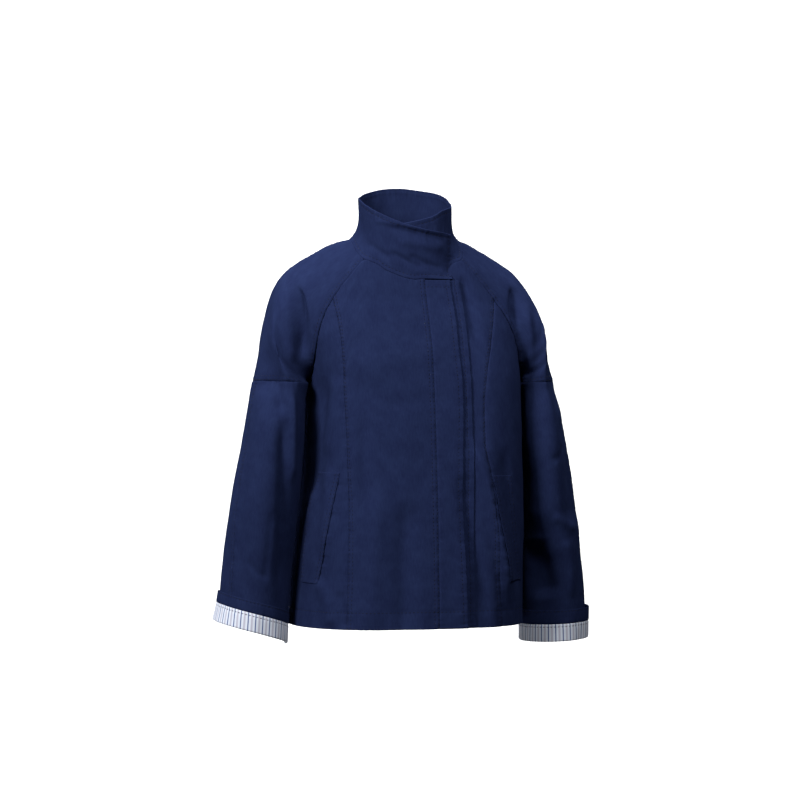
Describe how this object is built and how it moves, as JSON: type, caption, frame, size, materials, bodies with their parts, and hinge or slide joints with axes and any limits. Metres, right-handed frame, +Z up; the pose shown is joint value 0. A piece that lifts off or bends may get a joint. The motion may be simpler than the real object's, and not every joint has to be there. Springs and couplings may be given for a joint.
{
  "type": "jacket",
  "caption": "Hip-length funnel-neck jacket in navy cotton with raglan sleeves, fly front, slanted welt pockets and striped turned-up cuffs, shaped as worn.",
  "frame": {"origin": "where the wearer's shoulders and neck hold the jacket up: on the body's axis, level with the base of the neck", "axes": "+Z up towards the collar, -Y the way the jacket's front faces, +X towards the wearer's left sleeve"},
  "size_m": [0.5848, 0.2986, 0.7012],
  "materials": {
    "navy_cotton": "matte cotton twill",
    "striped_cotton": "matte striped cotton poplin"
  },
  "bodies": {
    "root": {"back": "navy_cotton", "front_centre_R": "navy_cotton", "front_centre_L": "navy_cotton", "front_side_R": "navy_cotton", "front_side_L": "navy_cotton", "placket_flap": "navy_cotton", "placket_strip": "navy_cotton", "collar": "navy_cotton", "pocket_welt_R": "navy_cotton", "pocket_welt_L": "navy_cotton", "sleeve_upper_front_R": "navy_cotton", "sleeve_upper_front_L": "navy_cotton", "sleeve_upper_back_R": "navy_cotton", "sleeve_upper_back_L": "navy_cotton", "sleeve_lower_front_R": "navy_cotton", "sleeve_lower_front_L": "navy_cotton", "sleeve_lower_back_R": "navy_cotton", "sleeve_lower_back_L": "navy_cotton", "cuff_band_R": "navy_cotton", "cuff_band_L": "navy_cotton", "cuff_facing_R": "striped_cotton", "cuff_facing_L": "striped_cotton"}
  },
  "joints": []
}
